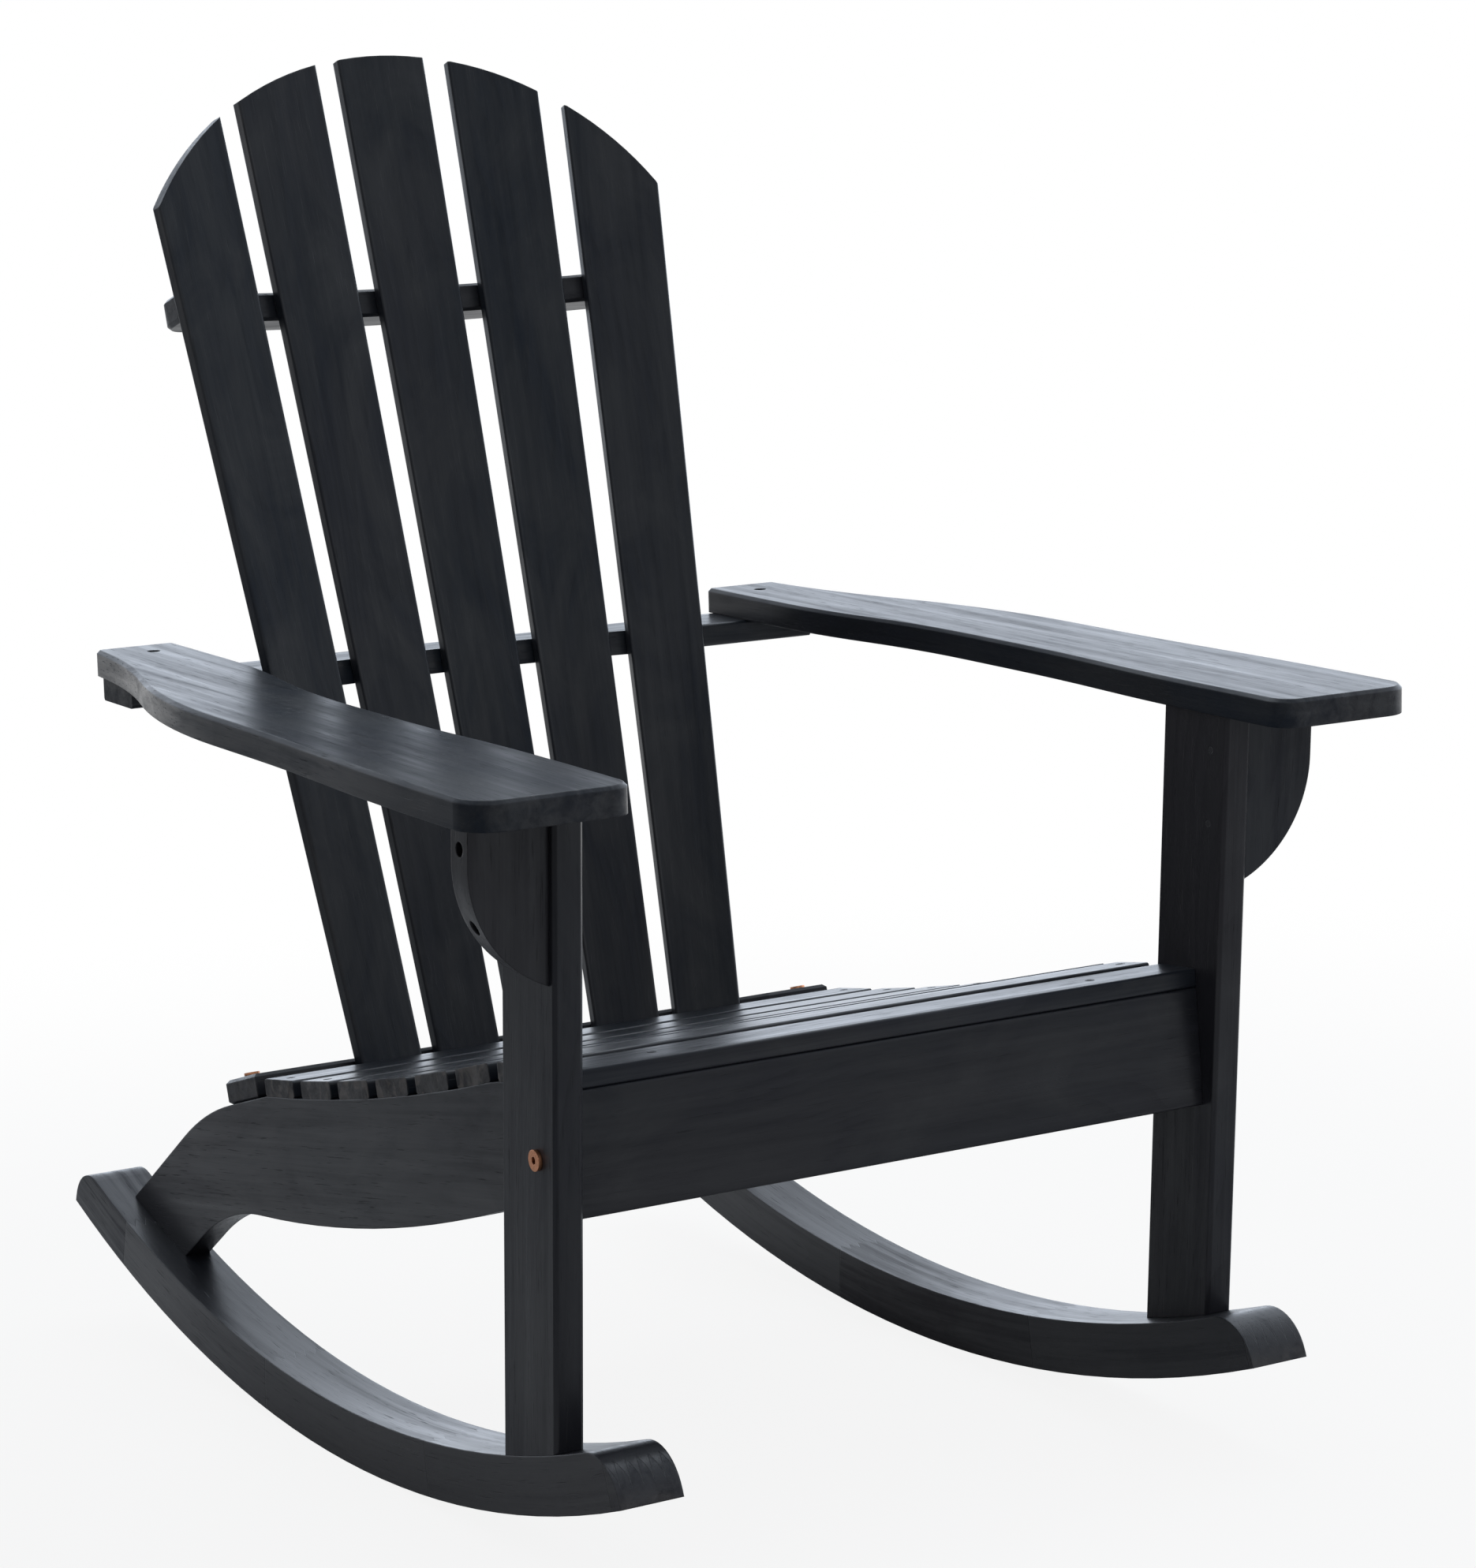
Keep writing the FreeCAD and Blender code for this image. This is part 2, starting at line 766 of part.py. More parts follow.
def make_arm_rail():
    """The board across the back that carries the arms, hollowed to the slats' curve."""
    edge = arm_rail_front()
    rail = board(
        "arm_rail", "Sizes.arm_rail_depth", "Sizes.arm_rail_thickness", "Sizes.arm_rail_width",
        tilted(edge.y, edge.z, size("arm_slope")),
    )
    before = rail.Shape.Volume
    hollow = new_sketch(rail, "XY_Plane", "Hollow")
    hollow.AttachmentOffset = rail.Placement.inverse().multiply(back_place(0, 0))
    clear = rim_off - size("arm_rail_depth")
    outline(hollow, [
        ("-Sizes.back_curve_width / 2", clear, None),
        ("Sizes.back_curve_width / 2", clear, None),
        ("Sizes.back_curve_width / 2", rim_off, "Sizes.back_curve_radius"),
        ("-Sizes.back_curve_width / 2", rim_off, None),
    ])
    cut = rail.newObject("PartDesign::Pocket", "Slat_curve")
    cut.Profile = hollow
    cut.Midplane = True
    cut.setExpression("Length", "4 * Sizes.back_height")
    doc.recompute()
    if rail.Shape.Volume >= before:
        raise RuntimeError("The hollow misses the arm rail")
    return rail


def make_bracket(side, sign):
    """The bracket under an arm: straight at the top, then curved in to the leg."""
    body = new_body(f"arm_bracket_{side}")
    face = new_sketch(
        body, "XZ_Plane", "Front", "-Sizes.bracket_front - Sizes.bracket_thickness"
    )
    top = under_arm(size("bracket_front"))
    bend = top - size("bracket_straight")
    curve = size("bracket_curve")
    low = bend - math.sqrt(curve ** 2 - (curve - size("bracket_reach")) ** 2)
    outer = half_width + size("bracket_reach")
    corners = [
        (half_width, low, curve),
        (outer, bend, None),
        (outer, top, None),
        (half_width, top, None),
    ]
    if sign < 0:
        corners = mirrored(corners)
    outline(face, corners)
    block = pad(body, face, "Sizes.bracket_thickness")
    before = body.Shape.Volume
    slope_cut = new_sketch(body, "YZ_Plane", "Slope")
    front = 0
    back = size("leg_depth")
    above = under_arm(0) + size("arm_thickness")
    outline(slope_cut, [
        (front, under_arm(front), None),
        (back, under_arm(back), None),
        (back, above, None),
        (front, above, None),
    ])
    cut = body.newObject("PartDesign::Pocket", "Under_arm")
    cut.Profile = slope_cut
    cut.Midplane = True
    cut.setExpression("Length", "2 * Sizes.width_over_legs")
    doc.recompute()
    if body.Shape.Volume >= before:
        raise RuntimeError(f"The slope misses {body.Label}")
    return body


# Bolts and screws: each goes into drilled holes, its Z axis pointing out of the wood.


def sideways(sign, x, y, z):
    """A place on one side of the chair whose Z axis points outwards, away from the middle."""
    return Placement(Vector(sign * x, y, z), Rotation(Vector(0, 1, 0), sign * 90))


def fastener(name, place, head, shank, socket=None):
    """A round head over a shank, both (width, height), with a hexagonal socket if it has one."""
    top = doc.addObject("Part::Cylinder", f"{name}_head")
    bind(top, "Radius", f"{head[0]} / 2")
    bind(top, "Height", head[1])
    stem = doc.addObject("Part::Cylinder", f"{name}_shank")
    bind(stem, "Radius", f"{shank[0]} / 2")
    bind(stem, "Height", shank[1])
    stem.setExpression("Placement.Base.z", f"-({shank[1]})")
    whole = doc.addObject("Part::Fuse", f"{name}_blank")
    whole.Base = top
    whole.Tool = stem
    if socket is None:
        whole.Placement = place
        return whole
    recess = doc.addObject("Part::Prism", f"{name}_socket")
    recess.Polygon = 6
    bind(recess, "Circumradius", f"{socket} / sqrt(3)")
    bind(recess, "Height", head[1])
    recess.setExpression("Placement.Base.z", f"({head[1]}) / 3")
    screw = doc.addObject("Part::Cut", name)
    screw.Base = whole
    screw.Tool = recess
    screw.Placement = place
    return screw


def together(label, items):
    """Identical fasteners as one group of separate solids."""
    group = doc.addObject("Part::Compound", label)
    group.Label = label
    group.Links = items
    doc.recompute()
    return group


def make_leg_bolts(boards):
    """A bolt through each leg into the end of the apron, under the first slat."""
    y, z = from_slat(
        seat[0], size("leg_bolt_back"), size("slat_thickness") + size("leg_bolt_down")
    )
    bolts = []
    for side, sign in SIDES:
        place = sideways(sign, half_width, y, z)
        drill(boards[f"front_leg_{side}"], place, "Sizes.leg_bolt_shank", "Sizes.leg_thickness")
        drill(boards["front_apron"], place, "Sizes.leg_bolt_shank", "Sizes.leg_bolt_length")
        bolts.append(fastener(
            f"leg_bolt_{side}", place, ("Sizes.leg_bolt_head", "Sizes.leg_bolt_proud"),
            ("Sizes.leg_bolt_shank", "Sizes.leg_bolt_length"), "Sizes.leg_bolt_socket",
        ))
    return together("leg_bolts", bolts)


def make_rail_bolts(boards):
    """A bolt down through each end of the lower back rail into the side rail."""
    x = rail_outside - size("rail_thickness") / 2
    off = rim_off + size("lower_rail_depth") / 2
    bolts = []
    for side, sign in SIDES:
        place = back_place(size("lower_rail_thickness"), off)
        place.Base = place.Base + ACROSS * (sign * x)
        for label in ("lower_back_rail", f"side_rail_{side}"):
            drill(boards[label], place, "Sizes.rail_bolt_shank", "Sizes.rail_bolt_length")
        bolts.append(fastener(
            f"rail_bolt_{side}", place, ("Sizes.rail_bolt_head", "Sizes.rail_bolt_proud"),
            ("Sizes.rail_bolt_shank", "Sizes.rail_bolt_length"), "Sizes.rail_bolt_socket",
        ))
    return together("lower_rail_bolts", bolts)


def make_bracket_screws(boards):
    """Two screws through each arm bracket into the leg, sunk in deep round bores."""
    y = size("bracket_front") + size("bracket_thickness") / 2
    floor = half_width + size("bracket_bore_floor")
    screws = []
    for side, sign in SIDES:
        for level in ("upper", "lower"):
            z = size(f"{level}_screw_z")
            outside = sideways(sign, half_width + size("bracket_reach"), y, z)
            place = sideways(sign, floor, y, z)
            drill(
                boards[f"arm_bracket_{side}"], outside, "Sizes.counterbore",
                "Sizes.bracket_reach - Sizes.bracket_bore_floor",
            )
            for label in (f"arm_bracket_{side}", f"front_leg_{side}"):
                drill(
                    boards[label], place, "Sizes.screw_shank",
                    "Sizes.bracket_bore_floor + Sizes.leg_thickness",
                )
            screws.append(fastener(
                f"bracket_screw_{side}_{level}", place,
                ("Sizes.screw_head", "Sizes.screw_head_height"),
                ("Sizes.screw_shank", "Sizes.bracket_bore_floor + Sizes.leg_thickness"),
            ))
    return together("bracket_screws", screws)


def make_arm_screws(boards):
    """A screw down through the rear of each arm into the arm rail, sunk in a round bore."""
    slope = size("arm_slope")
    along = Vector(0, math.cos(math.radians(slope)), -math.sin(math.radians(slope)))
    middle = arm_rail_front() + along * (size("arm_rail_depth") / 2)
    screws = []
    for side, sign in SIDES:
        flat = Placement(middle + ACROSS * (sign * size("arm_screw_x")), Rotation(ACROSS, -slope))
        top = flat.multiply(Placement(Vector(0, 0, size("arm_thickness")), Rotation()))
        floor = flat.multiply(
            Placement(Vector(0, 0, size("arm_thickness") - size("arm_bore")), Rotation())
        )
        drill(boards[f"arm_{side}"], top, "Sizes.counterbore", "Sizes.arm_bore")
        for label in (f"arm_{side}", "arm_rail"):
            drill(boards[label], floor, "Sizes.screw_shank", "Sizes.screw_bite")
        screws.append(fastener(
            f"arm_screw_{side}", floor, ("Sizes.screw_head", "Sizes.screw_head_height"),
            ("Sizes.screw_shank", "Sizes.screw_bite"),
        ))
    return together("arm_screws", screws)


pieces = make_seat() + [make_apron()] + make_back() + [make_arm_rail()]
for side, sign in SIDES:
    pieces += [
        make_rocker(side, sign),
        make_leg(side, sign),
        make_side_rail(side, sign),
        make_arm(side, sign),
        make_bracket(side, sign),
    ]
boards = {piece.Label: piece for piece in pieces}
for make in (make_leg_bolts, make_rail_bolts, make_bracket_screws, make_arm_screws):
    pieces.append(make(boards))

# At rest the chair rolls until its centre of mass lies over the rockers' lowest point.

doc.recompute()
solids = [solid for piece in pieces for solid in piece.Shape.Solids]
volume = sum(solid.Volume for solid in solids)
balance = Vector()
for solid in solids:
    balance += solid.CenterOfMass * (solid.Volume / volume)
tilt = math.degrees(math.atan2(circle_y - balance.y, circle_z - balance.z))
roll = Placement(Vector(), Rotation(ACROSS, tilt))
for piece in pieces:
    piece.Placement = roll.multiply(piece.Placement)
doc.recompute()
box = FreeCAD.BoundBox()
for piece in pieces:
    box.add(piece.Shape.BoundBox)
shift = Vector(0, -(box.YMin + box.YMax) / 2, -box.ZMin)
for piece in pieces:
    piece.Placement = Placement(shift, Rotation()).multiply(piece.Placement)
doc.recompute()

# Check every feature and every piece, then write the pieces.

for item in doc.Objects:
    if {"Invalid", "Error"} & set(item.State):
        raise RuntimeError(f"{item.Name} failed: {item.State}")
for piece in pieces:
    shape = piece.Shape
    if shape.isNull() or not shape.isValid() or shape.Volume <= 0:
        raise RuntimeError(f"{piece.Label} is not a sound solid")

os.makedirs("parts", exist_ok=True)
for piece in pieces:
    piece.Shape.exportStep(f"parts/{piece.Label}.step")
print(f"{len(pieces)} pieces, rest tilt {tilt:.3f} degrees, shift {shift.y:.2f} {shift.z:.2f}")
print(f"size {box.XLength:.1f} x {box.YLength:.1f} x {box.ZLength:.1f}")
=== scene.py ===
import math
from collections import namedtuple

import bmesh
import bpy
from mathutils import Matrix, Vector


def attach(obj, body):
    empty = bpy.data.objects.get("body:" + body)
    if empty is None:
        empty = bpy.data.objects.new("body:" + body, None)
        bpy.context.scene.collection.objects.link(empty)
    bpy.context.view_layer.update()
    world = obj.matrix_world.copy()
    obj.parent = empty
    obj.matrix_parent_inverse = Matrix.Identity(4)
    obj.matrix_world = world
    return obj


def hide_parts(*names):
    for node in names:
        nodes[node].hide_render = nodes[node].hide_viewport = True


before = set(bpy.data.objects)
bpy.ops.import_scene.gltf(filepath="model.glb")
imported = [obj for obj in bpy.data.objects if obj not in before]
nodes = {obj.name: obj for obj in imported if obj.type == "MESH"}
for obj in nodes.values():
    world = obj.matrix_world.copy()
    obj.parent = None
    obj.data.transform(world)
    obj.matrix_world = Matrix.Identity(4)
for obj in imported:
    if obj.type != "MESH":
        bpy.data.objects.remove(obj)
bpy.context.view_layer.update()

# The photograph shows the chair with its legs upright. At rest it leans forward on its
# rockers, so the camera, measured against the upright legs, leans with the chair.

REST_TILT = math.radians(5.802)
REST_SHIFT = Vector((0, -0.35272, -0.04015))
UPRIGHT_TO_REST = Matrix.Translation(REST_SHIFT) @ Matrix.Rotation(REST_TILT, 4, "X")

PHOTO_LONG_SIDE = 1988
SENSOR = 36.0
FOCAL_PIXELS = 5318
NEAREST = 0.05
FARTHEST = 100
EYE = Vector((-1.4981, -2.2810, 1.1867))
AZIMUTH = math.radians(-30.75)
PITCH = math.radians(13.18)
ROLL = math.radians(0.40)

ACROSS = Vector((1, 0, 0))
UP = Vector((0, 0, 1))
SIDES = (("left", -1), ("right", 1))

# Places and directions on the upright chair, in metres. The seat slats fall to the back by
# angles in degrees, from the front slat on. The back slats fan out and turn by a step for
# each place from the middle one.

ROCKER_CENTRE = Vector((0, 0.4644, 1.327))
ROCKER_TOP_RADIUS = 1.2867
ARM_SLOPE = math.radians(3.34)
SEAT_SLAT_TILTS = (8.5, 13.5, 20, 18.7, 17.4, 16.1, 14.8, 13.5)
BACK_SLATS = 5
BACK_LEAN = math.radians(20.6)
BACK_FAN = 0.0332
BACK_TURN = 0.0761


def link(name, data):
    """A new object in the scene."""
    thing = bpy.data.objects.new(name, data)
    bpy.context.scene.collection.objects.link(thing)
    return thing


def mesh_from(shape, name):
    """A mesh from a finished bmesh."""
    mesh = bpy.data.meshes.new(name)
    shape.to_mesh(mesh)
    shape.free()
    return mesh


def make_camera():
    """The photograph's camera."""
    forward = Vector((
        -math.sin(AZIMUTH) * math.cos(PITCH), math.cos(AZIMUTH) * math.cos(PITCH), -math.sin(PITCH),
    ))
    side = forward.cross(UP).normalized()
    up = side.cross(forward)
    right = side * math.cos(ROLL) + up * math.sin(ROLL)
    top = up * math.cos(ROLL) - side * math.sin(ROLL)
    turn = Matrix((right, top, -forward)).transposed().to_4x4()
    data = bpy.data.cameras.new("photo_camera")
    data.sensor_width = SENSOR
    data.lens = FOCAL_PIXELS / PHOTO_LONG_SIDE * SENSOR
    data.clip_start = NEAREST
    data.clip_end = FARTHEST
    camera = link("photo_camera", data)
    camera.matrix_world = UPRIGHT_TO_REST @ Matrix.Translation(EYE) @ turn
    bpy.context.scene.camera = camera


# Node trees, written as nested calls: each returns the socket that the next one takes.


class Tree:
    """A node tree under construction."""

    def __init__(self, tree):
        self.nodes = tree.nodes
        self.links = tree.links

    def add(self, kind, inputs=(), output=0, **settings):
        """A node with its settings, its inputs set or linked, and one of its outputs."""
        node = self.nodes.new(f"ShaderNode{kind}")
        for name, value in settings.items():
            setattr(node, name, value)
        for key, value in dict(inputs).items():
            if isinstance(value, bpy.types.NodeSocket):
                self.links.new(value, node.inputs[key])
            else:
                node.inputs[key].default_value = value
        return node.outputs[output]

    def place(self):
        """The place on the chair, in metres."""
        return self.add("TexCoord", output=3)

    def math(self, operation, first, second=0.0, third=0.0):
        return self.add("Math", {0: first, 1: second, 2: third}, operation=operation)

    def product(self, first, second):
        return self.math("MULTIPLY", first, second)

    def total(self, start, *terms):
        """A start plus values, each times its factor."""
        for value, factor in terms:
            start = self.math("MULTIPLY_ADD", value, factor, start)
        return start

    def vector(self, operation, first, second=(0, 0, 0), output=0):
        return self.add("VectorMath", {0: first, 1: second}, output, operation=operation)

    def combine(self, x, y, z):
        return self.add("CombineXYZ", {"X": x, "Y": y, "Z": z})

    def split(self, vector):
        return self.add("SeparateXYZ", {0: vector}).node.outputs[:3]

    def noise(self, vector, scale, detail=2.0, roughness=0.5, distortion=0.0):
        """Noise of so many waves per metre, or one such number for each direction."""
        if isinstance(scale, tuple):
            vector = self.vector("MULTIPLY", vector, scale)
            scale = 1.0
        return self.add("TexNoise", {
            "Vector": vector, "Scale": scale, "Detail": detail, "Roughness": roughness,
            "Distortion": distortion,
        })

    def span(self, value, low, high, to_low=0.0, to_high=1.0):
        """A value's part of a span, mapped onto another and kept inside it."""
        return self.add("MapRange", {
            "Value": value, "From Min": low, "From Max": high, "To Min": to_low, "To Max": to_high,
        }, interpolation_type="SMOOTHSTEP")

    def blend(self, amount, first, second):
        """Two colours mixed."""
        node = self.nodes.new("ShaderNodeMix")
        node.data_type = "RGBA"
        node.clamp_factor = True
        for index, value in ((0, amount), (6, first), (7, second)):
            if isinstance(value, bpy.types.NodeSocket):
                self.links.new(value, node.inputs[index])
            elif index == 0:
                node.inputs[index].default_value = value
            else:
                node.inputs[index].default_value = (*value, 1)
        return node.outputs[2]


def new_material(name):
    """A new material with its tree and its shader."""
    material = bpy.data.materials.new(name)
    material.use_nodes = True
    shader = material.node_tree.nodes["Principled BSDF"]
    return material, Tree(material.node_tree), shader


def dress(piece, material):
    """Give a piece one material."""
    piece.data.materials.clear()
    piece.data.materials.append(material)


# Stained wood. Every board has its own grain direction and its own piece of the pattern.

COOL_STAIN = (0.0036, 0.0056, 0.0084)
COOL_STAIN_THIN = (0.0092, 0.0128, 0.0190)
WARM_STAIN = (0.0112, 0.0105, 0.0127)
WARM_STAIN_THIN = (0.0275, 0.0256, 0.0285)
STAIN_WORN = (0.060, 0.060, 0.064)
PORE = (0.004, 0.0042, 0.005)
GLUE_LINE = (0.003, 0.003, 0.003)
BARE_FIBRE = (0.085, 0.078, 0.070)
END_GRAIN = (0.022, 0.021, 0.022)
END_GRAIN_PALE = (0.105, 0.092, 0.080)
WOOD_IOR = 1.42

# Waves of each pattern per metre: along the grain, across it and through the board.

FIBRES = (9, 620, 620)
STREAKS = (3.0, 85, 85)
SMEARS = (8, 17, 17)
HUES = (2.0, 5, 5)
RING_SWAY = (2.4, 9, 9)
PORES = (38, 900, 900)
RUBBING = (60, 90, 90)
SAW_MARKS = (30, 30, 210)
END_PATCHES = 55
RINGS_PER_METRE = 95

# How far apart two boards, and two staves of a rocker, lie in the pattern, in metres.

BOARD_STEP = (1.73, 0.61, 0.37)
STAVE_STEP = 3.7

# Where each pattern starts and where it is full, on a value from 0 to 1.

PORE_SPAN = (0.64, 0.76)
RING_SPAN = (0.35, 1.0)
RING_PATCH_SPAN = (0.40, 0.62)
RUBBED_SPAN = (0.48, 0.74)
BRUSH_MARK_SPAN = (0.68, 0.80)
END_PATCH_SPAN = (0.46, 0.58)
HUE_SPAN = (0.30, 0.70)

# The same for how squarely a face looks along the grain, and for how far the rounded normal
# bends away from the face.

END_FACE_SPAN = (0.80, 0.95)
EDGE_SPAN = (0.015, 0.16)

EDGE_RADIUS = 0.0016
GRAIN_DEPTH = 0.00022

# The rockers are glued from staves that meet in slanted fingers. A glue line comes in this
# far from a stave's middle, in stave lengths.

STAVE_LENGTH = 0.27
FINGER_WIDTH = 0.0042
FINGER_SLANT = 2.6
GLUE_SPAN = (0.4975, 0.4995)

# The finish of a kind of board: how warm its colour is, warmer on the low boards and cooler
# on the high ones, how much its end grain shows, and how strongly the brush left streaks on it.

Finish = namedtuple("Finish", "warmth ends brushed")
PLAIN = Finish(0.5, 0.3, 0.12)
BATTEN = Finish(0.5, 0.1, 0.12)
BACK_SLAT = Finish(0.05, 0.3, 0.12)
SEAT_SLAT = Finish(0.2, 1.0, 0.5)
ARM = Finish(0.2, 0.1, 0.6)
BRACKET = Finish(0.7, 0.3, 0.12)
LEG = Finish(0.85, 0.3, 0.12)
SIDE_RAIL = Finish(0.75, 0.3, 0.12)
ROCKER = Finish(0.7, 0.3, 0.8)

Board = namedtuple("Board", "along across finish")
RAIL_GRAIN_DROP = math.radians(14)


def upright(*direction):
    """A direction on the upright chair, turned to the chair at rest."""
    return (UPRIGHT_TO_REST.to_3x3() @ Vector(direction)).normalized()


def downhill(angle):
    """The direction that runs back and falls by an angle."""
    return upright(0, math.cos(angle), -math.sin(angle))


def back_slat(rank):
    """A back slat, by its place from the middle one."""
    up = Vector((0, math.sin(BACK_LEAN), math.cos(BACK_LEAN)))
    off = Vector((0, math.cos(BACK_LEAN), -math.sin(BACK_LEAN)))
    turned = ACROSS * math.cos(rank * BACK_TURN) - off * math.sin(rank * BACK_TURN)
    return Board(upright(*(up + turned * (rank * BACK_FAN))), upright(*turned), BACK_SLAT)


def wooden_boards():
    """Every board with its directions along and across the grain and its finish."""
    upwards = upright(0, 0, 1)
    backwards = upright(0, 1, 0)
    boards = {
        "front_apron": Board(ACROSS, upwards, PLAIN),
        "lower_back_rail": Board(ACROSS, backwards, PLAIN),
        "upper_batten": Board(ACROSS, upwards, BATTEN),
        "arm_rail": Board(ACROSS, backwards, ARM),
    }
    for number, tilt in enumerate(SEAT_SLAT_TILTS, 1):
        boards[f"seat_slat_{number}"] = Board(ACROSS, downhill(math.radians(tilt)), SEAT_SLAT)
    for number in range(1, BACK_SLATS + 1):
        boards[f"back_slat_{number}"] = back_slat(number - (BACK_SLATS + 1) // 2)
    for side, _ in SIDES:
        boards[f"front_leg_{side}"] = Board(upwards, backwards, LEG)
        boards[f"arm_{side}"] = Board(downhill(ARM_SLOPE), ACROSS, ARM)
        boards[f"arm_bracket_{side}"] = Board(upwards, ACROSS, BRACKET)
        boards[f"side_rail_{side}"] = Board(downhill(RAIL_GRAIN_DROP), upwards, SIDE_RAIL)
        boards[f"rocker_{side}"] = Board(backwards, ACROSS, ROCKER)
    return boards


def straight_grain(tree, board):
    """Coordinates in metres with X along a board's grain, Y across it and Z through it."""
    through = board.along.cross(board.across).normalized()
    turn = Matrix((board.along, through.cross(board.along), through))
    return tree.add("Mapping", {"Vector": tree.place(), "Rotation": turn.to_euler("XYZ")})


def rocker_grain(tree):
    """Coordinates along the rocker's arc, with the glue lines and a tone for each stave."""
    leg_frame = tree.add("Mapping", {
        "Vector": tree.vector("SUBTRACT", tree.place(), tuple(REST_SHIFT)),
        "Rotation": (-REST_TILT, 0, 0),
    })
    x, y, z = tree.split(tree.vector("SUBTRACT", leg_frame, tuple(ROCKER_CENTRE)))
    radius = tree.math("SQRT", tree.math("ADD", tree.product(y, y), tree.product(z, z)))
    arc = tree.product(tree.math("ARCTAN2", y, tree.product(z, -1)), ROCKER_TOP_RADIUS)
    finger = tree.math("PINGPONG", x, FINGER_WIDTH)
    staved = tree.math("DIVIDE", tree.total(arc, (finger, FINGER_SLANT)), STAVE_LENGTH)
    stave = tree.math("FLOOR", tree.math("ADD", staved, tree.math("SIGN", x)))
    seam = tree.math("ABSOLUTE", tree.math("SUBTRACT", tree.math("FRACT", staved), 0.5))
    glue = tree.span(seam, *GLUE_SPAN)
    tone = tree.math("SUBTRACT", tree.add("TexWhiteNoise", {"W": stave}, noise_dimensions="1D"), 0.5)
    grain = tree.combine(arc, tree.math("ADD", x, tree.product(stave, STAVE_STEP)), radius)
    return grain, glue, tone


def end_face(tree, along):
    """How squarely a face looks along the grain, as end grain does."""
    normal = tree.add("NewGeometry", output=1)
    facing = tree.math("ABSOLUTE", tree.vector("DOT_PRODUCT", normal, tuple(along), output=1))
    return tree.span(facing, *END_FACE_SPAN)


def late_wood(tree, grain, smear):
    """The dark part of each growth ring, in the patches where the stain is thin."""
    _, y, z = tree.split(grain)
    sway = tree.noise(grain, RING_SWAY, detail=1)
    heart = tree.total(tree.math("ADD", y, tree.product(z, 0.6)), (sway, 0.16))
    ring = tree.math("FRACT", tree.product(heart, RINGS_PER_METRE))
    return tree.product(tree.span(ring, *RING_SPAN), tree.span(smear, *RING_PATCH_SPAN))


def worn_edges(tree, grain):
    """The rounded normal, and wear along the edges, which is uneven along their length."""
    rounded = tree.add("Bevel", {"Radius": EDGE_RADIUS}, samples=4)
    flat = tree.add("NewGeometry", output=1)
    bent = tree.math("SUBTRACT", 1.0, tree.vector("DOT_PRODUCT", rounded, flat, output=1))
    rubbed = tree.noise(grain, RUBBING, detail=3, roughness=0.7)
    worn = tree.product(tree.span(bent, *EDGE_SPAN), tree.span(rubbed, *RUBBED_SPAN, 0.05, 1.0))
    return rounded, worn


Wood = namedtuple("Wood", "grain fibre streak smear pore late end saw glue tone")


def wood_patterns(tree, seed, board):
    """The patterns that the color, the shine and the relief of a board share."""
    glue = tone = 0.0
    if board.finish is ROCKER:
        grain, glue, tone = rocker_grain(tree)
    else:
        grain = straight_grain(tree, board)
    grain = tree.vector("ADD", grain, tuple(seed * step for step in BOARD_STEP))
    smear = tree.noise(grain, SMEARS, detail=5, roughness=0.62, distortion=0.8)
    return Wood(
        grain=grain,
        fibre=tree.noise(grain, FIBRES, detail=3, roughness=0.62),
        streak=tree.noise(grain, STREAKS, detail=4, roughness=0.62, distortion=0.5),
        smear=smear,
        pore=tree.span(tree.noise(grain, PORES, detail=1), *PORE_SPAN),
        late=late_wood(tree, grain, smear),
        end=end_face(tree, board.along),
        saw=tree.noise(grain, SAW_MARKS, detail=3, roughness=0.6),
        glue=glue,
        tone=tone,
    )


def stain_color(tree, wood, finish):
    """Stain, paler where it lies thin, with brush marks and dark pores."""
    amount = tree.total(
        0.0, (wood.streak, finish.brushed), (wood.smear, 1.5), (wood.late, -0.14), (wood.tone, 0.55),
    )
    start = 0.52 + 0.35 * finish.brushed
    thinness = tree.span(amount, start, start + 0.62)
    hue = tree.noise(wood.grain, HUES)
    warm = tree.span(hue, *HUE_SPAN, finish.warmth - 0.3, finish.warmth + 0.3)
    thick = tree.blend(warm, COOL_STAIN, WARM_STAIN)
    thin = tree.blend(warm, COOL_STAIN_THIN, WARM_STAIN_THIN)
    color = tree.blend(thinness, thick, thin)
    brush_mark = tree.span(wood.streak, *BRUSH_MARK_SPAN, 0.0, 0.30)
    color = tree.blend(brush_mark, color, STAIN_WORN)
    return tree.blend(tree.product(wood.pore, 0.5), color, PORE)


def end_grain_color(tree, wood):
    """End grain, paler in patches between the saw marks."""
    patch = tree.span(tree.noise(wood.grain, END_PATCHES, distortion=1.2), *END_PATCH_SPAN)
    return tree.blend(tree.product(patch, wood.saw), END_GRAIN, END_GRAIN_PALE)


def wood_color(tree, wood, finish, worn):
    """Stain, with end grain at the ends, bare fibre on worn edges and the glue lines."""
    color = stain_color(tree, wood, finish)
    color = tree.blend(tree.product(wood.end, finish.ends), color, end_grain_color(tree, wood))
    color = tree.blend(tree.product(worn, 0.26), color, BARE_FIBRE)
    return tree.blend(tree.product(wood.glue, 0.6), color, GLUE_LINE)


def wood_roughness(tree, wood):
    """Rough on end grain, in the pores and in the brush's streaks."""
    return tree.total(
        0.11, (wood.streak, 0.30), (wood.fibre, 0.16), (wood.pore, 0.25), (wood.end, 0.18),
    )


def wood_shine(tree, wood, brushed):
    """How strongly a board reflects: less where the stain is thin."""
    amount = tree.total(0.0, (wood.streak, 0.2 + brushed), (wood.smear, 0.6), (wood.tone, 0.5))
    start = 0.15 + 0.5 * brushed
    return tree.span(amount, start, start + 0.5, 0.72, 0.16)


